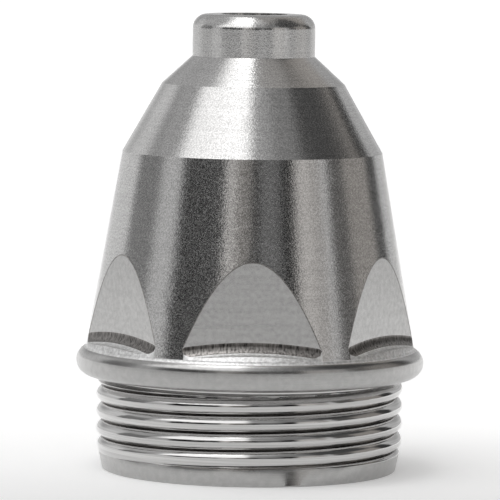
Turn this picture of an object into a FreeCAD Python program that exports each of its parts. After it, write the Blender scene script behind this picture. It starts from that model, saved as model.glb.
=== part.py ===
"""Plasma torch nozzle, turned from one bar and milled with six wrench flats.

Millimetres, +Z up the axis of the nozzle. The origin is the centre of its threaded end face, on which it
stands. The tip with the orifice is at the top, and one wrench flat faces -Y.
"""
import FreeCAD, Part
import math
import os

import Sketcher

# name, value, what it is
SIZES = [
    ("shank_diameter", 18.0, "major diameter of the fine thread on the shank"),
    ("thread_pitch", 1.0, "pitch of that thread, which sets its depth"),
    ("shank_length", 5.45, "threaded end face to the underside of the flange"),
    ("relief_width", 0.25, "thread relief under the flange"),
    ("lead_in_length", 2.3, "long taper that starts the thread"),
    ("lead_in_depth", 0.5, "how much smaller in radius that taper is at the end face"),
    ("flange_diameter", 20.1, "outer diameter of the flange"),
    ("flange_thickness", 1.64, "thickness of the flange, whose rim is half-round"),
    ("foot_diameter", 18.97, "long taper where it meets the flange"),
    ("foot_radius", 0.25, "hollow corner between the long taper and the flange"),
    ("waist_diameter", 15.0, "long taper where it meets the nose"),
    ("nose_diameter", 10.53, "nose where it meets the steep collar"),
    ("tip_diameter", 7.06, "cylindrical tip"),
    ("body_height", 11.28, "height of the long taper"),
    ("nose_height", 3.92, "height of the nose taper"),
    ("collar_height", 1.59, "height of the steep collar under the tip"),
    ("tip_height", 2.41, "height of the cylindrical tip"),
    ("tip_radius", 0.8, "rounding of the tip's outer edge"),
    ("across_flats", 17.0, "distance between opposite wrench flats"),
    ("flat_count", 6, "number of wrench flats"),
    ("flat_floor_rise", 0.38, "rise of the arched floor of a flat at its middle"),
    ("flat_corner_radius", 0.7, "hollow corner between a flat and its floor"),
    ("seat_diameter", 14.0, "counterbore that seats the swirl ring"),
    ("seat_depth", 4.0, "depth of that counterbore"),
    ("mouth_chamfer", 0.3, "chamfer at the mouth of the counterbore"),
    ("chamber_diameter", 11.0, "bore that takes the electrode"),
    ("throat_diameter", 2.4, "small end of the taper that closes the chamber"),
    ("throat_length", 5.4, "length of that taper"),
    ("orifice_diameter", 1.5, "orifice through which the arc leaves"),
    ("orifice_length", 5.15, "length of the orifice"),
    ("recess_diameter", 3.8, "shallow recess in the face of the tip"),
    ("recess_depth", 0.3, "depth of that recess"),
]

# Expressions in the sheet's names that several features share
THREAD_DEPTH = "0.6134 * Sizes.thread_pitch"
SHANK = "Sizes.shank_diameter / 2"
ROOT = SHANK + " - " + THREAD_DEPTH
FLANGE = "Sizes.flange_diameter / 2"
FOOT = "Sizes.foot_diameter / 2"
WAIST = "Sizes.waist_diameter / 2"
TIP = "Sizes.tip_diameter / 2"
FLAT = "Sizes.across_flats / 2"
UNDERSIDE_Z = "Sizes.shank_length"
FLANGE_TOP_Z = UNDERSIDE_Z + " + Sizes.flange_thickness"
FLANGE_MIDDLE_Z = UNDERSIDE_Z + " + Sizes.flange_thickness / 2"
WAIST_Z = FLANGE_TOP_Z + " + Sizes.body_height"
NOSE_Z = WAIST_Z + " + Sizes.nose_height"
COLLAR_Z = NOSE_Z + " + Sizes.collar_height"
TIP_Z = COLLAR_Z + " + Sizes.tip_height"
TAPER_SLOPE = "((" + FOOT + " - " + WAIST + ") / Sizes.body_height)"

# An arched floor runs from one foot corner of its flat to the other
HALF_CHORD = "sqrt((" + FOOT + ")^2 - (" + FLAT + ")^2)"
FLOOR_RADIUS = "((" + HALF_CHORD + ")^2 + Sizes.flat_floor_rise^2) / (2 * Sizes.flat_floor_rise)"
FLOOR_Z = FLANGE_TOP_Z + " + Sizes.flat_floor_rise"
FLOOR_AXIS_Z = FLOOR_Z + " - " + FLOOR_RADIUS

CUTTER_MARGIN = "2"  # how far a cutting outline runs past the metal that it removes
SWEEP_MARGIN = "2 deg"  # how far a flat's sweep runs past the corners of its foot

doc = FreeCAD.newDocument("plasma_torch_nozzle")


def make_sheet():
    """The driving dimensions, one to a row: value, name and meaning."""
    new_sheet = doc.addObject("Spreadsheet::Sheet", "Sizes")
    for row, (name, value, meaning) in enumerate(SIZES, start=1):
        new_sheet.set("A%d" % row, str(value))
        new_sheet.set("B%d" % row, name)
        new_sheet.set("C%d" % row, meaning)
        new_sheet.setAlias("A%d" % row, name)
    doc.recompute()
    return new_sheet


def number(expression):
    """What an expression in the sheet's names comes to."""
    result = sheet.evalExpression(expression)
    return float(getattr(result, "Value", result))


def origin_feature(role):
    """One of the body's own origin planes or axes."""
    return [feature for feature in body.Origin.OriginFeatures if feature.Role == role][0]


def new_sketch(name, role):
    """An empty sketch on one of the body's own origin planes."""
    sketch = body.newObject("Sketcher::SketchObject", name)
    sketch.AttachmentSupport = [(origin_feature(role), "")]
    sketch.MapMode = "FlatFace"
    return sketch


def place_point(sketch, curve, end, across, up):
    """Ties one end of a curve to its place, given as an expression across and one up the sketch."""
    for kind, expression, axis in (("DistanceX", across, -2), ("DistanceY", up, -1)):
        value = number(expression)
        if abs(value) < 1e-9:
            sketch.addConstraint(Sketcher.Constraint("PointOnObject", curve, end, axis))
        elif value > 0:
            index = sketch.addConstraint(Sketcher.Constraint(kind, -1, 1, curve, end, value))
            sketch.setExpression("Constraints[%d]" % index, expression)
        else:
            index = sketch.addConstraint(Sketcher.Constraint(kind, curve, end, -1, 1, -value))
            sketch.setExpression("Constraints[%d]" % index, "-(" + expression + ")")


def add_outline(sketch, corners, half_round=None):
    """A closed run of straight lines through corners given as pairs of expressions. From the corner numbered
    half_round to the next, the outline bulges outward in a half circle instead."""
    points = [FreeCAD.Vector(number(across), number(up), 0) for across, up in corners]
    first = sketch.GeometryCount
    count = len(points)
    for index, start in enumerate(points):
        end = points[(index + 1) % count]
        if index == half_round:
            middle = (start + end) * 0.5
            circle = Part.Circle(middle, FreeCAD.Vector(0, 0, 1), start.distanceToPoint(end) / 2)
            sketch.addGeometry(Part.ArcOfCircle(circle, -math.pi / 2, math.pi / 2))
        else:
            sketch.addGeometry(Part.LineSegment(start, end))
    for index in range(count):
        following = first + (index + 1) % count
        sketch.addConstraint(Sketcher.Constraint("Coincident", first + index, 2, following, 1))
    for index, (across, up) in enumerate(corners):
        place_point(sketch, first + index, 1, across, up)
    if half_round is not None:
        across = corners[half_round][0]
        tie = Sketcher.Constraint("DistanceX", -1, 1, first + half_round, 3, number(across))
        index = sketch.addConstraint(tie)
        sketch.setExpression("Constraints[%d]" % index, across)


def turn(kind, name, corners, half_round=None):
    """Adds or removes the full turn of an outline about the nozzle's axis."""
    sketch = new_sketch(name + "Outline", "XZ_Plane")
    add_outline(sketch, corners, half_round)
    feature = body.newObject(kind, name)
    feature.Profile = sketch
    feature.ReferenceAxis = (sketch, ["V_Axis"])
    feature.Angle = 360
    doc.recompute()
    return feature


def circle_edge(feature, radius, height, slack=1e-4):
    """Name of the feature's circular edge about the nozzle's axis nearest to a radius and a height."""
    found = []
    for index, edge in enumerate(feature.Shape.Edges, start=1):
        curve = edge.Curve
        if isinstance(curve, Part.Circle) and abs(curve.Center.x) + abs(curve.Center.y) < slack:
            miss = abs(curve.Radius - radius) + abs(curve.Center.z - height)
            found.append((miss, "Edge%d" % index))
    return min(found)[1]


def round_edge(name, feature, radius, height, size):
    """Rounds one circular edge by a size in the sheet."""
    fillet = body.newObject("PartDesign::Fillet", name)
    fillet.Base = (feature, [circle_edge(feature, radius, height)])
    fillet.setExpression("Radius", size)
    doc.recompute()
    return fillet


def make_shank_and_flange():
    """Threaded shank at its major diameter, its relief and the flange with its half-round rim."""
    rim_centre = FLANGE + " - Sizes.flange_thickness / 2"
    turn("PartDesign::Revolution", "ShankAndFlange", [
        ("0", "0"),
        (SHANK + " - Sizes.lead_in_depth", "0"),
        (SHANK, "Sizes.lead_in_length"),
        (SHANK, UNDERSIDE_Z + " - Sizes.relief_width"),
        (ROOT, UNDERSIDE_Z + " - Sizes.relief_width"),
        (ROOT, UNDERSIDE_Z),
        (rim_centre, UNDERSIDE_Z),
        (rim_centre, FLANGE_TOP_Z),
        ("0", FLANGE_TOP_Z),
    ], half_round=6)


def make_tapers():
    """Long taper, nose, collar and cylindrical tip, rising out of the flange."""
    buried = FOOT + " + " + TAPER_SLOPE + " * Sizes.flange_thickness / 2"
    tapers = turn("PartDesign::Revolution", "Tapers", [
        ("0", FLANGE_MIDDLE_Z),
        (buried, FLANGE_MIDDLE_Z),
        (WAIST, WAIST_Z),
        ("Sizes.nose_diameter / 2", NOSE_Z),
        (TIP, COLLAR_Z),
        (TIP, TIP_Z),
        ("0", TIP_Z),
    ])
    foot = round_edge("FootCorner", tapers, number(FOOT), number(FLANGE_TOP_Z), "Sizes.foot_radius")
    round_edge("TipEdge", foot, number(TIP), number(TIP_Z), "Sizes.tip_radius")


def make_bore():
    """Everything that is bored out: mouth, seat, chamber, its tapered end, orifice and the tip's recess."""
    seat = "Sizes.seat_diameter / 2"
    chamber = "Sizes.chamber_diameter / 2"
    orifice = "Sizes.orifice_diameter / 2"
    recess = "Sizes.recess_diameter / 2"
    recess_z = TIP_Z + " - Sizes.recess_depth"
    throat_z = recess_z + " - Sizes.orifice_length"
    chamber_end_z = throat_z + " - Sizes.throat_length"
    turn("PartDesign::Groove", "Bore", [
        ("0", "0"),
        (seat + " + Sizes.mouth_chamfer", "0"),
        (seat, "Sizes.mouth_chamfer"),
        (seat, "Sizes.seat_depth"),
        (chamber, "Sizes.seat_depth"),
        (chamber, chamber_end_z),
        ("Sizes.throat_diameter / 2", throat_z),
        (orifice, throat_z),
        (orifice, recess_z),
        (recess, recess_z),
        (recess, TIP_Z),
        ("0", TIP_Z),
    ])


def draw_flat_section(sketch):
    """What the cutter removes, seen from the side: outside the flat, above its floor, with a hollow corner."""
    corner = "Sizes.flat_corner_radius"
    top = WAIST_Z + " + " + CUTTER_MARGIN
    outside = FLANGE + " + " + CUTTER_MARGIN
    corners = [
        (FLAT, FLOOR_Z + " + " + corner),
        (FLAT, top),
        (outside, top),
        (outside, FLOOR_Z),
        (FLAT + " + " + corner, FLOOR_Z),
    ]
    points = [FreeCAD.Vector(number(across), number(up), 0) for across, up in corners]
    for start, end in zip(points, points[1:]):
        sketch.addGeometry(Part.LineSegment(start, end))
    floor = len(points) - 2
    centre = FreeCAD.Vector(points[-1].x, points[0].y, 0)
    circle = Part.Circle(centre, FreeCAD.Vector(0, 0, 1), number(corner))
    hollow = sketch.addGeometry(Part.ArcOfCircle(circle, math.pi, 1.5 * math.pi))
    for line in range(floor):
        sketch.addConstraint(Sketcher.Constraint("Coincident", line, 2, line + 1, 1))
    sketch.addConstraint(Sketcher.Constraint("Tangent", hollow, 1, 0, 1))
    sketch.addConstraint(Sketcher.Constraint("Tangent", hollow, 2, floor, 2))
    for line in range(floor + 1):
        place_point(sketch, line, 1, *corners[line])
    sketch.addConstraint(Sketcher.Constraint("Horizontal", floor))


def make_flats():
    """The flats. Each is cut along an arch, so that its floor is lowest at the two corners of its foot."""
    sketch = new_sketch("FlatSection", "YZ_Plane")
    draw_flat_section(sketch)
    arch_axis = [("0", FLOOR_AXIS_Z), (FLAT, FLOOR_AXIS_Z)]
    ends = [FreeCAD.Vector(number(across), number(up), 0) for across, up in arch_axis]
    axis = sketch.addGeometry(Part.LineSegment(*ends), True)
    for end, (across, up) in enumerate(arch_axis, start=1):
        place_point(sketch, axis, end, across, up)

    volume_before = body.Shape.Volume
    cut = body.newObject("PartDesign::Groove", "Flat")
    cut.Profile = sketch
    cut.ReferenceAxis = (sketch, ["Axis0"])
    cut.Midplane = True
    cut.setExpression("Angle", "2 * asin(" + HALF_CHORD + " / (" + FLOOR_RADIUS + ")) + " + SWEEP_MARGIN)
    doc.recompute()
    if cut.Shape.Volume >= volume_before:
        raise ValueError("the first flat cut nothing")

    pattern = body.newObject("PartDesign::PolarPattern", "Flats")
    pattern.Originals = [cut]
    pattern.Axis = (origin_feature("Z_Axis"), [""])
    pattern.Angle = 360
    pattern.setExpression("Occurrences", "Sizes.flat_count")
    body.Tip = pattern
    doc.recompute()


def check_and_write():
    """Stops on any failed object, and then writes the nozzle."""
    for item in doc.Objects:
        if "Invalid" in item.State or "Error" in item.State:
            raise ValueError(item.Name + " failed: " + str(item.State))
        if item.isDerivedFrom("Sketcher::SketchObject") and not item.FullyConstrained:
            raise ValueError(item.Name + " is not fully constrained")
    shape = body.Shape
    if shape.isNull() or not shape.isValid() or len(shape.Solids) != 1:
        raise ValueError("the nozzle is not one valid solid")
    os.makedirs("parts", exist_ok=True)
    shape.exportStep("parts/" + body.Label + ".step")
    box = shape.optimalBoundingBox(True, False)
    print("nozzle %.2f x %.2f x %.2f mm, volume %.1f mm3, %d faces" % (
        box.XLength, box.YLength, box.ZLength, shape.Volume, len(shape.Faces)))


sheet = make_sheet()
body = doc.addObject("PartDesign::Body", "nozzle")
make_shank_and_flange()
make_tapers()
make_bore()
make_flats()
check_and_write()
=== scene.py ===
"""Plasma torch nozzle: satin turned body, milled flats, polished flange and fine right-hand thread.

The nozzle's sizes are in millimetres, and its mesh is made in metres. +Z runs up the axis, the threaded
end face is at z = 0 and one wrench flat faces -Y.
"""
import math

import bpy
import numpy as np
from mathutils import Matrix, Vector


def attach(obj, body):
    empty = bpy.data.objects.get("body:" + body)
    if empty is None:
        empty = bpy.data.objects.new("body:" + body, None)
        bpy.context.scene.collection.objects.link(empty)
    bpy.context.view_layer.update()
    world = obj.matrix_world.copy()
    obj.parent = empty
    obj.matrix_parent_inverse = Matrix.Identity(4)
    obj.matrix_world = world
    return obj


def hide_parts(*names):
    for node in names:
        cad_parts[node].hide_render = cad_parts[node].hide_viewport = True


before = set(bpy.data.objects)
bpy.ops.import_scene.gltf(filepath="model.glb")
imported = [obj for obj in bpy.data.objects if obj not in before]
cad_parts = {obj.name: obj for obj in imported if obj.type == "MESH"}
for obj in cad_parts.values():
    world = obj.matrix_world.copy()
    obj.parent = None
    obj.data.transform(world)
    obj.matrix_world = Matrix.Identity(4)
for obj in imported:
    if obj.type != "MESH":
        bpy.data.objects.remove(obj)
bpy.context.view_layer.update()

MM = 0.001
TINY = 1e-9  # stands in for a length of zero where one is divided by
WELD = 1e-6  # points of neighbouring rows that are nearer than this are one

# Shank and thread
SHANK_R = 9.0
PITCH = 1.0
THREAD_DEPTH = 0.6134 * PITCH  # of a metric external thread
ROOT_R = SHANK_R - THREAD_DEPTH
CREST_R = 8.88
CREST_FULLNESS = 1.7  # exponent of the crests' rounded section: 1 is a plain V thread, 2 is elliptical
PILOT_LENGTH = 1.0  # plain part of the lead-in
FADE_LENGTH = 0.25  # height over which the grooves reach their depth above it
CREST_PHASE = 0.82  # height of a crest on the +X side, in pitches above the end face
TURNS = range(-1, 6)  # turns of the thread that touch the shank at some azimuth
LEAD_IN_R = 8.5  # start of the long lead-in taper, at the end face
LEAD_IN_LENGTH = 2.3
RUN_OUT = (4.98, 5.22)  # heights between which the crests die out under the flange
RELIEF_Z = RUN_OUT[1] + 0.04  # start of the plain relief above them
RELIEF_R = ROOT_R - 0.05
UNDERSIDE_Z = 5.45
CREASE = 0.03  # size of the rounding where the thread meets the lead-in and the run-out
ROOT_CREASE = 0.02  # the same at the bottom of a groove
EDGE_BREAK = 0.08  # radius of the rounded outer edge of the end face
EDGE_LEAN = 0.16  # the broken edge is shaded as leaning down, in radians, as the lead-in above it does

# Flange with its half-round rim
FLANGE_R = 10.05
FLANGE_THICKNESS = 1.64
RIM_R = FLANGE_THICKNESS / 2
RIM_CENTRE = (FLANGE_R - RIM_R, UNDERSIDE_Z + RIM_R)
FLANGE_TOP_Z = UNDERSIDE_Z + FLANGE_THICKNESS

# Tapers and tip
FOOT_R = 9.485
FOOT_CORNER_R = 0.25
BODY_HEIGHT = 11.28
WAIST_R = 7.5
WAIST_Z = FLANGE_TOP_Z + BODY_HEIGHT
NOSE_HEIGHT = 3.92
SHOULDER_R = 5.265
SHOULDER_Z = WAIST_Z + NOSE_HEIGHT
COLLAR_HEIGHT = 1.59
COLLAR_Z = SHOULDER_Z + COLLAR_HEIGHT
TIP_HEIGHT = 2.41
TIP_R = 3.53
TIP_Z = COLLAR_Z + TIP_HEIGHT
TIP_ROUND_R = 0.8
TIP_ROUND_CENTRE = (TIP_R - TIP_ROUND_R, TIP_Z - TIP_ROUND_R)
TAPER_SLOPE = (FOOT_R - WAIST_R) / BODY_HEIGHT

# Wrench flats with their arched floors
FLAT_V = 8.5  # distance of a flat from the axis
FLAT_COUNT = 6
FLOOR_RISE = 0.38  # height of a floor's middle above its ends
FLOOR_DEPTH = 2.0  # how far out from the hollow corner the cutter's section goes
HOLLOW_R = 0.7
HALF_CHORD = math.sqrt(FOOT_R ** 2 - FLAT_V ** 2)
FLOOR_R = (HALF_CHORD ** 2 + FLOOR_RISE ** 2) / (2 * FLOOR_RISE)
ARCH_Z = FLANGE_TOP_Z + FLOOR_RISE - FLOOR_R
FLAT_REACH = 8.0  # how far up a flat the cutter's section goes
SECTION_END = 3.0  # its parameter there
SHADED_EDGE_WIDTH = 0.06  # painted shade along the edge of a flat against the long taper

# Bore
SEAT_R = 7.0
SEAT_Z = 4.0
MOUTH_CHAMFER = 0.3
CHAMBER_R = 5.5
CHAMBER_Z = 15.44
THROAT_R = 1.2
THROAT_Z = 20.84
ORIFICE_R = 0.75
RECESS_R = 1.9
RECESS_DEPTH = 0.3
RECESS_Z = TIP_Z - RECESS_DEPTH

# Finishes, numbered in the order of the materials on the mesh. Those of the thread's roots and the hollow
# corners are painted shade, and that of the ledges is a painted highlight
TURNED, RIM, THREAD, ROOT_SHADE, MILLED, HOLLOW_SHADE, LEDGE_HIGHLIGHT, BORED = range(8)

# Mesh density
FLAT_COLUMNS = 66  # across a flat
PILLAR_COLUMNS = 9  # between two flats
HALF_TURN = (0.10, 0.19, 0.27, 0.34, 0.40, 0.44, 0.465, 0.485)  # the thread's rows, in pitches from a crest
ROOT_PHASE = 0.45  # where the painted shade of the roots starts, in pitches from a crest
EDGE_ROWS = 5
RUN_OUT_ROWS = 6
RIM_LOW_ROWS = 14
RIM_HIGH_ROWS = 12
FOOT_CORNER_ROWS = 6
HOLLOW_ROWS = 10
HIGHLIGHT_ROWS = 4  # rows of the hollow corner that have the floor's painted highlight
TIP_ROWS = 12

# Searches for the edges of the flats
SECTION_STEPS = 300
HALVINGS = 50


def unit(across, up):
    """A direction in the half-plane of the axis, of length one."""
    length = math.hypot(across, up)
    return across / length, up / length


def foot_corner():
    """Centre of the hollow corner between the rim and the long taper, and its two tangent points."""
    along = unit(-TAPER_SLOPE, 1.0)
    out = (along[1], -along[0])
    start = (FOOT_R + FOOT_CORNER_R * out[0], FLANGE_TOP_Z + FOOT_CORNER_R * out[1])
    gap = (start[0] - RIM_CENTRE[0], start[1] - RIM_CENTRE[1])
    half = gap[0] * along[0] + gap[1] * along[1]
    rest = gap[0] ** 2 + gap[1] ** 2 - (RIM_R + FOOT_CORNER_R) ** 2
    shift = -half + math.sqrt(half ** 2 - rest)
    centre = (start[0] + shift * along[0], start[1] + shift * along[1])
    share = RIM_R / (RIM_R + FOOT_CORNER_R)
    on_rim = tuple(c + share * (m - c) for c, m in zip(RIM_CENTRE, centre))
    on_taper = (centre[0] - FOOT_CORNER_R * out[0], centre[1] - FOOT_CORNER_R * out[1])
    return centre, on_rim, on_taper


CORNER, CORNER_LOW, CORNER_HIGH = foot_corner()


def outer_radius(z):
    """Radius of the rim, the foot's hollow corner or the long taper, above the rim's middle."""
    if z <= CORNER_LOW[1]:
        return RIM_CENTRE[0] + math.sqrt(max(0.0, RIM_R ** 2 - (z - RIM_CENTRE[1]) ** 2))
    if z < CORNER_HIGH[1]:
        return CORNER[0] - math.sqrt(max(0.0, FOOT_CORNER_R ** 2 - (z - CORNER[1]) ** 2))
    return FOOT_R - TAPER_SLOPE * (z - FLANGE_TOP_Z)


def cutter_section(t):
    """Distances of a point of the cutter's section from the nozzle's axis and from the arch's axis.

    t runs from 0 to 1 in along the floor, to 2 round the hollow corner and to 3 up the flat.
    """
    if t <= 1:
        return FLAT_V + HOLLOW_R + (1 - t) * FLOOR_DEPTH, FLOOR_R
    if t <= 2:
        angle = (t - 1) * math.pi / 2
        return FLAT_V + HOLLOW_R * (1 - math.sin(angle)), FLOOR_R + HOLLOW_R * (1 - math.cos(angle))
    return FLAT_V, FLOOR_R + HOLLOW_R + (t - 2) * FLAT_REACH


def cutter_point(t, turn):
    """Radius and height of the cutter's section in a half-plane that is turned from the flat's middle."""
    across, reach = cutter_section(t)
    along = across * math.tan(turn)
    return across / math.cos(turn), ARCH_Z + math.sqrt(reach ** 2 - along ** 2)


def clearance(t, turn):
    """How far outside the uncut nozzle a point of the cutter's section is."""
    radius, z = cutter_point(t, turn)
    return radius - outer_radius(z)


def halve(function, low, high):
    """Where a function changes its sign between two values."""
    sign = function(low) > 0
    for _ in range(HALVINGS):
        middle = (low + high) / 2
        if (function(middle) > 0) == sign:
            low = middle
        else:
            high = middle
    return (low + high) / 2


def deepest(turn):
    """Where the cutter's section is deepest in the metal of one half-plane, and how deep."""
    steps = np.linspace(0.0, SECTION_END, SECTION_STEPS + 1)
    best = min(steps, key=lambda t: clearance(t, turn))
    reach = 2 * (steps[1] - steps[0])
    low, high = max(0.0, best - reach), min(SECTION_END, best + reach)
    for _ in range(HALVINGS):
        a, b = low + (high - low) / 3, high - (high - low) / 3
        if clearance(a, turn) < clearance(b, turn):
            high = b
        else:
            low = a
    best = (low + high) / 2
    return best, clearance(best, turn)


def cut_range(turn):
    """Parameters at which the cutter's section enters and leaves the metal of one half-plane."""
    middle, depth = deepest(turn)
    if depth >= 0:
        return middle, middle
    enter = halve(lambda t: clearance(t, turn), 0.0, middle)
    leave = halve(lambda t: clearance(t, turn), middle, SECTION_END)
    return enter, leave


# A flat ends where its cutter just touches the uncut nozzle.
FLAT_HALF_ANGLE = halve(lambda turn: deepest(turn)[1], math.radians(20), math.radians(30))


def column_angles():
    """Azimuth of each column of the mesh, its turn from its flat's middle, and that middle's azimuth."""
    step = 2 * math.pi / FLAT_COUNT
    rows = []
    for flat in range(FLAT_COUNT):
        middle = -math.pi / 2 + flat * step
        for turn in np.linspace(-FLAT_HALF_ANGLE, FLAT_HALF_ANGLE, FLAT_COLUMNS + 1)[:-1]:
            rows.append((middle + turn, turn, middle))
        for turn in np.linspace(FLAT_HALF_ANGLE, step - FLAT_HALF_ANGLE, PILLAR_COLUMNS + 1)[:-1]:
            rows.append((middle + turn, turn, middle))
    rows.append((rows[0][0] + 2 * math.pi, rows[0][1], rows[0][2]))
    return np.array(rows)


def soft_min(a, b, size):
    """The lower of two values, with the crease between them rounded."""
    return 0.5 * (a + b - np.sqrt((a - b) ** 2 + size ** 2))


def thread_radius(theta, z):
    """Radius of the threaded shank at an azimuth and a height."""
    phase = z / PITCH - CREST_PHASE - theta / (2 * math.pi)
    phase = phase - np.round(phase)
    away = np.clip(2.0 * np.abs(phase), 0.0, 1.0)
    crest = ROOT_R + (CREST_R - ROOT_R) * (1.0 - away ** CREST_FULLNESS) ** (1.0 / CREST_FULLNESS)
    lead_in = LEAD_IN_R + (SHANK_R - LEAD_IN_R) * z / LEAD_IN_LENGTH
    fade = np.clip((z - PILOT_LENGTH) / FADE_LENGTH, 0.0, 1.0)
    root = ROOT_R + (1.0 - fade) * (lead_in - ROOT_R)
    groove = -soft_min(-crest, -root, ROOT_CREASE)
    run_out = ROOT_R + (SHANK_R - ROOT_R) * (RUN_OUT[1] - z) / (RUN_OUT[1] - RUN_OUT[0])
    limit = np.maximum(run_out, RELIEF_R)
    return soft_min(soft_min(groove, lead_in, CREASE), limit, CREASE)


class Rows:
    """Rows of mesh points round the nozzle, and the surface of the band that leads up to each row."""

    def __init__(self):
        self.columns = column_angles()
        self.points = []
        self.bands = []

    def add(self, radius, z, surface, finish):
        """One row. Radius and z are numbers or one value for each column."""
        theta = self.columns[:, 0]
        radius = np.broadcast_to(np.asarray(radius, float), theta.shape)
        z = np.broadcast_to(np.asarray(z, float), theta.shape)
        self.points.append(np.stack([radius * np.cos(theta), radius * np.sin(theta), z], axis=1))
        self.bands.append((surface, finish))


def spun(columns, across, up):
    """One direction for each column, from its outward and its upward part."""
    theta = columns[:, 0]
    return np.stack([across * np.cos(theta), across * np.sin(theta), up * np.ones_like(theta)], axis=1)


def turned(across, up):
    """Normals of a surface of revolution, given the direction in its half-plane."""
    def normals(points, columns):
        return spun(columns, across, up)
    return normals


def corner_normals(points, columns):
    """Normals of the hollow corner at the long taper's foot, which point at its centre."""
    across = CORNER[0] - np.hypot(points[:, 0], points[:, 1])
    up = CORNER[1] - points[:, 2]
    length = np.maximum(np.hypot(across, up), TINY)
    return spun(columns, across / length, up / length)


def worn(centre, lifts, shown):
    """Normals of a worn arc about a centre: each lift, in degrees, is shaded as another."""
    def normals(points, columns):
        radius = np.hypot(points[:, 0], points[:, 1])
        lift = np.degrees(np.arctan2(points[:, 2] - centre[1], radius - centre[0]))
        lift = np.radians(np.interp(lift, lifts, shown))
        return spun(columns, np.cos(lift), np.sin(lift))
    return normals


# The rim is worn flatter in its middle, and the tip's edge and the foot of the long taper are worn rounder.
LIP_LIFT = 46  # degrees
LIP_FADE = 5.0  # the lip's wear fades out over the last fifth of the way to each end of a flat
RIM_WORN = worn(RIM_CENTRE, (-90, -30, 0, 21, 32, 60, 90), (-90, -22, -4, 3, 17, 50, 90))
TIP_WORN = worn(TIP_ROUND_CENTRE, (0, 18, 62, 90), (0, 33, 50, 90))


def lip_normals(points, columns):
    """Normals of the long taper's foot, which is worn round in front of each flat's floor."""
    share = np.clip(LIP_FADE * (1.0 - np.abs(columns[:, 1]) / FLAT_HALF_ANGLE), 0.0, 1.0)
    lift = math.atan(TAPER_SLOPE) + share * (math.radians(LIP_LIFT) - math.atan(TAPER_SLOPE))
    return spun(columns, np.cos(lift), np.sin(lift))


def threaded(points, columns):
    """Normals of the thread, from the slopes of its radius."""
    theta = columns[:, 0]
    z = points[:, 2]
    radius = thread_radius(theta, z)
    step = 1e-4
    by_z = (thread_radius(theta, z + step) - thread_radius(theta, z - step)) / (2 * step)
    by_theta = (thread_radius(theta + step, z) - thread_radius(theta - step, z)) / (2 * step)
    cos, sin = np.cos(theta), np.sin(theta)
    along = -by_theta / radius
    direction = np.stack([cos - along * sin, sin + along * cos, -by_z], axis=1)
    return direction / np.linalg.norm(direction, axis=1)[:, None]


def flat_frame(columns):
    """Directions out of and along the flat that each column crosses."""
    middle = columns[:, 2]
    zero = np.zeros(len(middle))
    out = np.stack([np.cos(middle), np.sin(middle), zero], axis=1)
    along = np.stack([-np.sin(middle), np.cos(middle), zero], axis=1)
    return out, along


def arch_direction(points, columns):
    """Direction away from the axis of the flat's arched floor."""
    out, along = flat_frame(columns)
    side = np.sum(points * along, axis=1)
    up = points[:, 2] - ARCH_Z
    reach = np.hypot(side, up)
    direction = along * (side / reach)[:, None]
    direction[:, 2] = up / reach
    return direction, reach, out


def floor_normals(points, columns):
    """Normals of a flat's arched floor."""
    return arch_direction(points, columns)[0]


def hollow_normals(points, columns):
    """Normals of the hollow corner between a flat and its floor."""
    direction, reach, out = arch_direction(points, columns)
    across = FLAT_V + HOLLOW_R - np.sum(points * out, axis=1)
    up = FLOOR_R + HOLLOW_R - reach
    length = np.maximum(np.hypot(across, up), TINY)
    return out * (across / length)[:, None] + direction * (up / length)[:, None]


def flat_normals(points, columns):
    """Normals of a flat."""
    return flat_frame(columns)[0]


def arc_points(centre, radius, start, end, steps):
    """Points along an arc in the half-plane after its first one, with angles in degrees from outward."""
    for angle in np.radians(np.linspace(start, end, steps + 1))[1:]:
        yield centre[0] + radius * math.cos(angle), centre[1] + radius * math.sin(angle)


def add_shank(rows):
    """Threaded end face, broken outer edge, lead-in and thread up to the flange.

    Returns the first row that climbs with the thread, the first after them, and how many a turn has.
    """
    theta = rows.columns[:, 0]
    edge = thread_radius(theta, np.full(len(theta), EDGE_BREAK))
    rows.add(edge - EDGE_BREAK, 0.0, turned(0, -1), THREAD)
    for angle in np.radians(np.linspace(-90, 0, EDGE_ROWS + 1))[1:]:
        radius = edge - EDGE_BREAK + EDGE_BREAK * math.cos(angle)
        up = EDGE_BREAK + EDGE_BREAK * math.sin(angle)
        rows.add(radius, up, turned(math.cos(angle - EDGE_LEAN), math.sin(angle - EDGE_LEAN)), RIM)
    phases = [-0.5, *(-phase for phase in reversed(HALF_TURN)), 0.0, *HALF_TURN]
    rows.add(thread_radius(theta, np.full(len(theta), PILOT_LENGTH)), PILOT_LENGTH, threaded, RIM)
    first = len(rows.points)
    for turn in TURNS:
        for phase in phases:
            z = (CREST_PHASE + turn + phase + theta / (2 * math.pi)) * PITCH
            z = np.clip(z, PILOT_LENGTH, RUN_OUT[0])
            # Rows near the bottom of a groove get the dark steel of painted shade
            rows.add(thread_radius(theta, z), z, threaded, ROOT_SHADE if abs(phase) > ROOT_PHASE else THREAD)
    end = len(rows.points)
    run_out = np.linspace(*RUN_OUT, RUN_OUT_ROWS + 1)[1:]
    for z in (*run_out, RELIEF_Z, UNDERSIDE_Z):
        rows.add(thread_radius(theta, np.full(len(theta), z)), z, threaded, THREAD)
    return first, end, len(phases)


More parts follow.
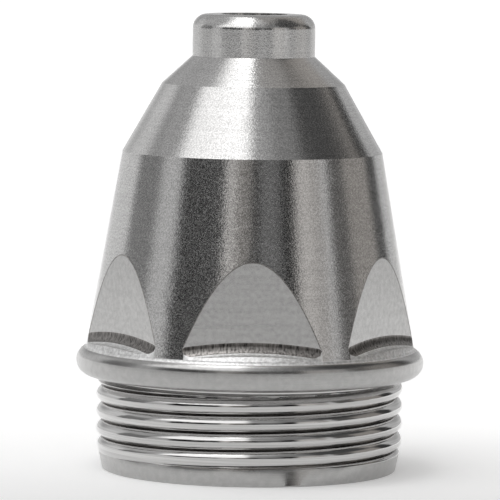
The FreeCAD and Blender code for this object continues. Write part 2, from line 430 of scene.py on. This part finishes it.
def add_flange_and_foot(rows):
    """Flange with its half-round rim, then the long taper with its flats and their arched floors."""
    columns = rows.columns
    count = len(columns)
    ranges = {}
    enter, leave = np.zeros(count), np.zeros(count)
    low = np.zeros(count)
    turns = np.minimum(np.abs(columns[:, 1]), FLAT_HALF_ANGLE)
    for index, turn in enumerate(turns):
        key = round(turn, 9)
        if key not in ranges:
            start, end = cut_range(turn)
            ranges[key] = (start, end, cutter_point(start, turn)[1])
        enter[index], leave[index], low[index] = ranges[key]

    def outer_row(z_row, surface, finish):
        """A row on the uncut outside that stops where a flat's cut begins."""
        z = np.minimum(z_row, low)
        rows.add([outer_radius(value) for value in z], z, surface, finish)

    rows.add(RIM_CENTRE[0], UNDERSIDE_Z, turned(0, -1), RIM)
    end_angle = math.degrees(math.atan2(CORNER[1] - RIM_CENTRE[1], CORNER[0] - RIM_CENTRE[0]))
    for radius, z in arc_points(RIM_CENTRE, RIM_R, -90, 0, RIM_LOW_ROWS):
        rows.add(radius, z, RIM_WORN, RIM)
    for radius, z in arc_points(RIM_CENTRE, RIM_R, 0, end_angle, RIM_HIGH_ROWS):
        outer_row(z, RIM_WORN, RIM)
    corner_end = math.degrees(math.atan(TAPER_SLOPE)) - 180
    # The flange's corner and the foot of each flat get the bright steel of a painted highlight
    for radius, z in arc_points(CORNER, FOOT_CORNER_R, end_angle - 180, corner_end, FOOT_CORNER_ROWS):
        outer_row(z, corner_normals, LEDGE_HIGHLIGHT)
    in_flat = np.abs(columns[:, 1]) < FLAT_HALF_ANGLE
    outer_row(math.inf, lip_normals, np.where(in_flat, LEDGE_HIGHLIGHT, TURNED))

    def cut_row(t_row, surface, finish):
        """A row on the cutter's section, kept between where it enters and leaves the metal."""
        radius, z = [], []
        for turn, t in zip(turns, np.clip(t_row, enter, leave)):
            point = cutter_point(t, turn)
            radius.append(point[0])
            z.append(point[1])
        rows.add(radius, z, surface, finish)

    # The floors and the lowest rows of the hollow corner get the bright steel of a painted highlight
    cut_row(1.0, floor_normals, LEDGE_HIGHLIGHT)
    # The hollow corner's upper rows get the dark steel of painted shade
    for step in range(1, HOLLOW_ROWS + 1):
        cut_row(1.0 + step / HOLLOW_ROWS, hollow_normals, LEDGE_HIGHLIGHT if step <= HIGHLIGHT_ROWS else HOLLOW_SHADE)
    # The painted shade along a flat's edge is the dark steel of the thread's roots, and has one width all
    # along the arch.
    edge_slope = np.sin(turns) / TAPER_SLOPE
    cut_row(leave - SHADED_EDGE_WIDTH * np.hypot(1.0, edge_slope) / FLAT_REACH, flat_normals, MILLED)
    cut_row(SECTION_END, flat_normals, ROOT_SHADE)
    rows.add(WAIST_R, WAIST_Z, turned(*unit(1.0, TAPER_SLOPE)), TURNED)


def add_tapers_and_tip(rows):
    """Nose, collar and tip."""
    nose = unit(SHOULDER_Z - WAIST_Z, WAIST_R - SHOULDER_R)
    collar = unit(COLLAR_Z - SHOULDER_Z, SHOULDER_R - TIP_R)
    rows.add(SHOULDER_R, SHOULDER_Z, turned(*nose), TURNED)
    rows.add(TIP_R, COLLAR_Z, turned(*collar), TURNED)
    rows.add(TIP_R, TIP_ROUND_CENTRE[1], turned(1, 0), TURNED)
    for radius, z in arc_points(TIP_ROUND_CENTRE, TIP_ROUND_R, 0, 90, TIP_ROWS):
        rows.add(radius, z, TIP_WORN, TURNED)


def add_bore(rows):
    """From the recess in the tip down through the orifice and the chamber to the mouth."""
    rows.add(RECESS_R, TIP_Z, turned(0, 1), TURNED)
    rows.add(RECESS_R, RECESS_Z, turned(-1, 0), TURNED)
    rows.add(ORIFICE_R, RECESS_Z, turned(0, 1), TURNED)
    rows.add(ORIFICE_R, THROAT_Z, turned(-1, 0), BORED)
    rows.add(THROAT_R, THROAT_Z, turned(0, -1), BORED)
    rows.add(CHAMBER_R, CHAMBER_Z, turned(*unit(CHAMBER_Z - THROAT_Z, THROAT_R - CHAMBER_R)), BORED)
    rows.add(CHAMBER_R, SEAT_Z, turned(-1, 0), BORED)
    rows.add(SEAT_R, SEAT_Z, turned(0, -1), BORED)
    rows.add(SEAT_R, MOUTH_CHAMFER, turned(-1, 0), BORED)
    rows.add(SEAT_R + MOUTH_CHAMFER, 0.0, turned(-math.sqrt(0.5), -math.sqrt(0.5)), BORED)


def build_mesh(rows, thread):
    """One closed mesh from the rows, with the normals of the true surfaces on its corners."""
    points = np.array(rows.points)
    row_count = len(points)
    last = points.shape[1] - 1
    index = np.arange(row_count * last).reshape(row_count, last)
    for row in range(1, row_count):
        same = np.linalg.norm(points[row, :last] - points[row - 1, :last], axis=1) < WELD
        index[row, same] = index[row - 1, same]
    # The thread's rows climb a pitch in one turn, so each joins the row that is a turn further up.
    first, end, per_turn = thread
    seam = []
    for row in range(row_count):
        partner = min(row + per_turn, end - 1) if first <= row < end else row
        seam.append(index[partner, 0])
    index = np.concatenate([index, np.array(seam)[:, None]], axis=1)

    faces, normals, finishes = [], [], []
    columns = rows.columns
    for row in range(row_count):
        upper = (row + 1) % row_count
        surface, finish = rows.bands[upper]
        low, high = surface(points[row], columns), surface(points[upper], columns)
        corners = np.stack([index[row, :-1], index[row, 1:], index[upper, 1:], index[upper, :-1]], axis=1)
        quad_normals = np.stack([low[:-1], low[1:], high[1:], high[:-1]], axis=1)
        column_finishes = np.broadcast_to(finish, last + 1)
        for column, (ids, directions) in enumerate(zip(corners.tolist(), quad_normals)):
            keep = [k for k in range(4) if ids[k] != ids[k - 1]]
            if len(keep) >= 3 and len({ids[k] for k in keep}) == len(keep):
                faces.append([ids[k] for k in keep])
                finishes.append(int(column_finishes[column]))
                normals.extend(directions[k] for k in keep)
    used = sorted({vertex for face in faces for vertex in face})
    number = {old: new for new, old in enumerate(used)}
    flat_points = points[:, :last].reshape(-1, 3) * MM
    mesh = bpy.data.meshes.new("nozzle_skin")
    mesh.from_pydata(flat_points[used].tolist(), [], [[number[v] for v in face] for face in faces])
    mesh.update()
    mesh.polygons.foreach_set("use_smooth", [True] * len(mesh.polygons))
    mesh.polygons.foreach_set("material_index", finishes)
    mesh.normals_split_custom_set([tuple(direction) for direction in normals])
    return mesh


class Nodes:
    """A node tree under construction."""

    def __init__(self, tree):
        self.tree = tree

    def add(self, kind, inputs=(), **settings):
        """A node with its settings, and its inputs as sockets to link or values to set."""
        node = self.tree.nodes.new(kind)
        for name, value in settings.items():
            setattr(node, name, value)
        for name, value in dict(inputs).items():
            if isinstance(value, bpy.types.NodeSocket):
                self.tree.links.new(value, node.inputs[name])
            else:
                node.inputs[name].default_value = value
        return node

    def math(self, operation, a, b=0.0, clamp=False):
        """Result of a Math node."""
        return self.add("ShaderNodeMath", {0: a, 1: b}, operation=operation, use_clamp=clamp).outputs[0]

    def span(self, value, low, high, to_low=0.0, to_high=1.0):
        """A value eased from one range into another."""
        node = self.add("ShaderNodeMapRange", {
            "Value": value, "From Min": low, "From Max": high, "To Min": to_low, "To Max": to_high})
        node.interpolation_type = "SMOOTHSTEP"
        return node.outputs[0]

    def mix(self, share, a, b):
        """Mix of two colours, which are inputs 6 and 7 of a Mix node and give its output 2."""
        return self.add("ShaderNodeMix", {0: share, 6: a, 7: b}, data_type="RGBA").outputs[2]


def noise(nodes, vector, per_mm, detail):
    """Noise over the object's own coordinates, with so many grains in a millimetre on each axis."""
    moved = nodes.add("ShaderNodeMapping", {"Vector": vector, "Scale": per_mm}).outputs[0]
    texture = nodes.add("ShaderNodeTexNoise", {"Vector": moved, "Scale": 1 / MM, "Detail": detail})
    return texture.outputs["Fac"]


TINT_NOISE = (0.25, 0.75)  # levels of the noise that give the darkest and the lightest tint
ROUGH_NOISE = (0.2, 0.8)  # levels that give the smoothest and the roughest metal
ROUGHNESS_RANGE = 0.04  # how far the roughness varies to each side
ALONG_RINGS = 0.25  # turns of the anisotropy, which lay it along the lathe's rings


def metal_material(name, color, spread, roughness, anisotropy, marks):
    """Metal whose tint, roughness and bump come from a function that adds its marks.

    The colour varies by the spread, as a share of itself.
    """
    material = bpy.data.materials.new(name)
    material.use_nodes = True
    nodes = Nodes(material.node_tree)
    shader = material.node_tree.nodes["Principled BSDF"]
    shader.inputs["Metallic"].default_value = 1.0
    shader.inputs["Anisotropic"].default_value = anisotropy
    shader.inputs["Anisotropic Rotation"].default_value = ALONG_RINGS
    coordinates = nodes.add("ShaderNodeTexCoord").outputs["Object"]
    tint, rough, height, bump_mm = marks(nodes, coordinates)
    dark = (*[c * (1 - spread) for c in color], 1)
    light = (*[min(1.0, c * (1 + spread)) for c in color], 1)
    mixed = nodes.mix(nodes.span(tint, *TINT_NOISE), dark, light)
    nodes.tree.links.new(mixed, shader.inputs["Base Color"])
    uneven = nodes.span(rough, *ROUGH_NOISE, roughness - ROUGHNESS_RANGE, roughness + ROUGHNESS_RANGE)
    nodes.tree.links.new(uneven, shader.inputs["Roughness"])
    bump = nodes.add("ShaderNodeBump", {"Height": height, "Distance": bump_mm * MM, "Strength": 1.0})
    nodes.tree.links.new(bump.outputs[0], shader.inputs["Normal"])
    if anisotropy:
        tangent = nodes.add("ShaderNodeTangent", direction_type="RADIAL", axis="Z")
        nodes.tree.links.new(tangent.outputs[0], shader.inputs["Tangent"])
    return material


# Each function below returns the sources of the tint, roughness and bump, and the depth of the bump in mm.
def turned_marks(nodes, coordinates):
    """Fine rings of the lathe tool, a satin grain and a few scuffs."""
    rings = noise(nodes, coordinates, (0.04, 0.04, 7.0), 3.0)
    grain = noise(nodes, coordinates, (12.0, 12.0, 12.0), 1.0)
    height = nodes.math("ADD", nodes.math("MULTIPLY", rings, 0.4), nodes.math("MULTIPLY", grain, 1.4))
    where = nodes.span(noise(nodes, coordinates, (0.30, 0.30, 0.30), 1.0), 0.60, 0.68)
    scuff = nodes.math("MULTIPLY", noise(nodes, coordinates, (1.6, 1.6, 4.5), 2.0), where)
    height = nodes.math("ADD", height, nodes.math("MULTIPLY", scuff, 3.0))
    tint = nodes.math("ADD", nodes.math("MULTIPLY", grain, 0.8), nodes.math("MULTIPLY", rings, 0.2))
    return tint, grain, height, 0.004


def rim_marks(nodes, coordinates):
    """Faint rings on the polished flange."""
    rings = noise(nodes, coordinates, (0.05, 0.05, 9.0), 2.0)
    grain = noise(nodes, coordinates, (3.0, 3.0, 3.0), 2.0)
    return grain, rings, rings, 0.0015


def thread_marks(nodes, coordinates):
    """Rings left by the thread tool, with a few small burrs."""
    rings = noise(nodes, coordinates, (0.10, 0.10, 11.0), 3.0)
    burr = noise(nodes, coordinates, (1.5, 1.5, 6.0), 2.0)
    height = nodes.math("ADD", rings, nodes.math("MULTIPLY", burr, 0.6))
    return rings, burr, height, 0.006


def milled_marks(nodes, coordinates):
    """Milled face with an uneven grain and faint level tool lines."""
    grain = noise(nodes, coordinates, (4.0, 4.0, 4.0), 3.0)
    lines = noise(nodes, coordinates, (0.15, 0.15, 3.0), 2.0)
    height = nodes.math("ADD", nodes.math("MULTIPLY", grain, 0.8), lines)
    return grain, lines, height, 0.002


def hollow_marks(nodes, coordinates):
    """Fine upright marks of the cutter's corner."""
    hatch = noise(nodes, coordinates, (9.0, 9.0, 0.4), 2.0)
    return hatch, hatch, hatch, 0.010


def ledge_marks(nodes, coordinates):
    """Speckled marks on the floors of the cuts and in the flange's corner."""
    speckle = noise(nodes, coordinates, (6.0, 6.0, 6.0), 3.0)
    return speckle, speckle, speckle, 0.006


def bored_marks(nodes, coordinates):
    """Rings of the boring tool."""
    rings = noise(nodes, coordinates, (0.05, 0.05, 5.0), 2.0)
    return rings, rings, rings, 0.004


STEEL = (0.585, 0.58, 0.575)
FLAT_STEEL = (0.485, 0.482, 0.477)
RIM_STEEL = (0.46, 0.457, 0.452)
# Bright steel of a painted highlight
PAINTED_HIGHLIGHT_STEEL = (0.90, 0.895, 0.89)
# Dark steel of painted shade
PAINTED_SHADE_STEEL = (0.21, 0.20, 0.192)


def nozzle_materials():
    """The nozzle's finishes, in the order of their numbers."""
    return (
        metal_material("turned_satin", STEEL, 0.24, 0.20, 0.7, turned_marks),
        metal_material("polished_rim", RIM_STEEL, 0.06, 0.24, 0.0, rim_marks),
        metal_material("thread_metal", STEEL, 0.15, 0.10, 0.0, thread_marks),
        # Painted shade in the bottom of the thread's grooves and along the flats' edges
        metal_material("thread_root_painted_shade", PAINTED_SHADE_STEEL, 0.5, 0.22, 0.0, thread_marks),
        metal_material("milled_metal", FLAT_STEEL, 0.10, 0.24, 0.0, milled_marks),
        # Painted shade in the upper part of the hollow corners
        metal_material("hollow_painted_shade", PAINTED_SHADE_STEEL, 0.6, 0.30, 0.0, hollow_marks),
        # Painted highlight on the floors, the flange's corner and the lowest rows of the hollow corners
        metal_material("ledge_painted_highlight", PAINTED_HIGHLIGHT_STEEL, 0.25, 0.50, 0.0, ledge_marks),
        metal_material("bored_metal", STEEL, 0.15, 0.35, 0.5, bored_marks),
    )


def make_nozzle():
    """The nozzle's skin, which stands for the solid."""
    rows = Rows()
    thread = add_shank(rows)
    add_flange_and_foot(rows)
    add_tapers_and_tip(rows)
    add_bore(rows)
    nozzle = bpy.data.objects.new("turned_nozzle", build_mesh(rows, thread))
    for material in nozzle_materials():
        nozzle.data.materials.append(material)
    bpy.context.scene.collection.objects.link(nozzle)
    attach(nozzle, "root")
    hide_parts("nozzle")


# Pale floor, in metres. A pool of light is painted on it in a lane behind the nozzle, lighter in tone and
# in glow, so the camera's view has it white.
FLOOR_HALF = 3.0
LIT_LANE_SIDE = (0.06, 0.14)  # distances to each side between which the painted pool of light ends
LIT_LANE_START = (-0.06, 0.06)  # places from front to back between which it starts
FLOOR_TONE = (0.85, 0.95)  # outside the painted pool of light and in it
FLOOR_GLOW = (0.16, 0.45)  # the same, for what only the camera, reflections and glass see


def make_floor():
    """Pale floor with a painted pool of light in a lane behind the nozzle."""
    mesh = bpy.data.meshes.new("floor")
    corners = [(x * FLOOR_HALF, y * FLOOR_HALF, 0) for x, y in ((-1, -1), (1, -1), (1, 1), (-1, 1))]
    mesh.from_pydata(corners, [], [(0, 1, 2, 3)])
    floor = bpy.data.objects.new("floor", mesh)
    bpy.context.scene.collection.objects.link(floor)
    material = bpy.data.materials.new("floor_paper")
    material.use_nodes = True
    nodes = Nodes(material.node_tree)
    shader = material.node_tree.nodes["Principled BSDF"]
    place = nodes.add("ShaderNodeTexCoord").outputs["Object"]
    split = nodes.add("ShaderNodeSeparateXYZ", {0: place}).outputs
    # The lane's share is a painted pool of light: a lighter tone and a stronger glow behind the nozzle
    beside = nodes.span(nodes.math("ABSOLUTE", split[0]), *LIT_LANE_SIDE)
    behind = nodes.span(split[1], *LIT_LANE_START)
    share = nodes.math("MULTIPLY", behind, nodes.math("SUBTRACT", 1.0, beside))
    tone = nodes.span(share, 0.0, 1.0, *FLOOR_TONE)
    color = nodes.add("ShaderNodeCombineColor", {0: tone, 1: tone, 2: tone}).outputs[0]
    nodes.tree.links.new(color, shader.inputs["Base Color"])
    shader.inputs["Roughness"].default_value = 0.9
    path = nodes.add("ShaderNodeLightPath").outputs
    seen = nodes.math("ADD", path["Is Camera Ray"], path["Is Glossy Ray"])
    seen = nodes.math("ADD", seen, path["Is Transmission Ray"], clamp=True)
    shader.inputs["Emission Color"].default_value = (1, 1, 1, 1)
    glow = nodes.math("MULTIPLY", seen, nodes.span(share, 0.0, 1.0, *FLOOR_GLOW))
    nodes.tree.links.new(glow, shader.inputs["Emission Strength"])
    mesh.materials.append(material)


IMAGE_WIDTH = 500  # pixels
FOCAL_LENGTH = 4487  # pixels
CAMERA_PLACE = (-3.46, -258.3, 34.4)
CAMERA_AIM = (-0.07, 0.0, 12.67)
CAMERA_ROLL = 0.013  # radians


def make_camera():
    """The photograph's camera, which stands a little to the left and is rolled a little."""
    camera = bpy.data.cameras.new("camera")
    camera.sensor_width = 36
    camera.lens = camera.sensor_width * FOCAL_LENGTH / IMAGE_WIDTH
    camera.clip_start = 0.01
    camera.clip_end = 10
    holder = bpy.data.objects.new("camera", camera)
    bpy.context.scene.collection.objects.link(holder)
    place, aim = Vector(CAMERA_PLACE) * MM, Vector(CAMERA_AIM) * MM
    turn = (aim - place).to_track_quat("-Z", "Y").to_matrix() @ Matrix.Rotation(CAMERA_ROLL, 3, "Z")
    holder.matrix_world = Matrix.Translation(place) @ turn.to_4x4()
    bpy.context.scene.camera = holder


# Studio walls: where each tone starts, in degrees to the right of the camera, its level and how warm it is.
# For the photograph's camera the low band is mirrored by the long taper, the high band by the nose and the
# top band by the collar.
LOW_BAND = (
    (-180, 0.76, 0), (-118, 0.24, 0), (-86, 0.60, 0), (-64, 0.02, 0), (-23, 0.62, 0.5),
    (-15, 0.22, 1), (-1, 0.01, 0), (6, 0.16, 0), (24, 0.00, 0), (36, 0.62, 0.6), (51, 0.45, 0.6),
    (61, 0.70, 0), (67, 0.12, 0.5), (86, 0.33, 1), (117, 0.05, 0), (134, 0.60, 0),
)
HIGH_BAND = (
    (-180, 0.50, 0), (-130, 0.54, 0), (-100, 0.44, 0), (-83, 1.55, 0), (-3, 0.42, 0), (24, 0.28, 0),
    (57, 0.08, 0), (120, 0.42, 1), (150, 0.35, 0),
)
TOP_BAND = (
    (-180, 1.00, 0), (-150, 1.60, 0), (-98, 0.95, 0), (-80, 4.60, 0), (-14, 0.80, 0), (40, 0.42, 0.5),
    (150, 0.60, 0),
)
WARM = (1.06, 1.0, 0.94)  # tint of a wholly warm tone
HIGH_STARTS = (26.0, 36.0)  # elevations between which each band gives way to the next
TOP_STARTS = (60.0, 72.0)
BACK = (0.42, 0.42, 0.42, 1.0)  # tone of the wall behind the nozzle
BACK_SIDE = (135.0, 160.0)  # azimuths to each side between which that wall starts
BACK_STARTS = (4.0, 14.0)  # elevations between which it starts


def make_studio():
    """Studio of soft-edged panels round the nozzle in three bands, with a plain wall behind it."""
    world = bpy.data.worlds.new("studio")
    world.use_nodes = True
    nodes = Nodes(world.node_tree)
    direction = nodes.add("ShaderNodeTexCoord").outputs["Generated"]
    split = nodes.add("ShaderNodeSeparateXYZ", {0: direction}).outputs
    azimuth = nodes.math("DEGREES", nodes.math("ARCTAN2", split[0], nodes.math("MULTIPLY", split[1], -1.0)))
    elevation = nodes.math("DEGREES", nodes.math("ARCSINE", split[2]))
    place = nodes.math("DIVIDE", nodes.math("ADD", azimuth, 180.0), 360.0)

    def band(tones, soft):
        """Tones side by side round the studio. Soft is half the width of their edges, in degrees."""
        colors = [[level * (1 + warm * (w - 1)) for w in WARM] + [1] for _, level, warm in tones]
        ramp = nodes.add("ShaderNodeValToRGB", {"Fac": place})
        stops = ramp.color_ramp.elements
        stops[0].position, stops[0].color = 0.0, colors[0]
        stops[1].position, stops[1].color = 1.0, colors[-1]
        for before, tone, after in zip(colors, tones[1:], colors[1:]):
            for shift, color in ((-soft, before), (soft, after)):
                stops.new((tone[0] + shift + 180) / 360).color = color
        return ramp.outputs[0]

    low, high, top = band(LOW_BAND, soft=1.2), band(HIGH_BAND, soft=3.0), band(TOP_BAND, soft=6.0)
    walls = nodes.mix(nodes.span(elevation, *HIGH_STARTS), low, high)
    walls = nodes.mix(nodes.span(elevation, *TOP_STARTS), walls, top)
    behind = nodes.span(nodes.math("ABSOLUTE", azimuth), *BACK_SIDE)
    behind = nodes.math("MULTIPLY", behind, nodes.span(elevation, *BACK_STARTS))
    background = world.node_tree.nodes["Background"]
    nodes.tree.links.new(nodes.mix(behind, walls, BACK), background.inputs["Color"])
    background.inputs["Strength"].default_value = 1.0
    bpy.context.scene.world = world


make_nozzle()
make_floor()
make_camera()
make_studio()
bpy.context.scene.view_settings.view_transform = "Standard"
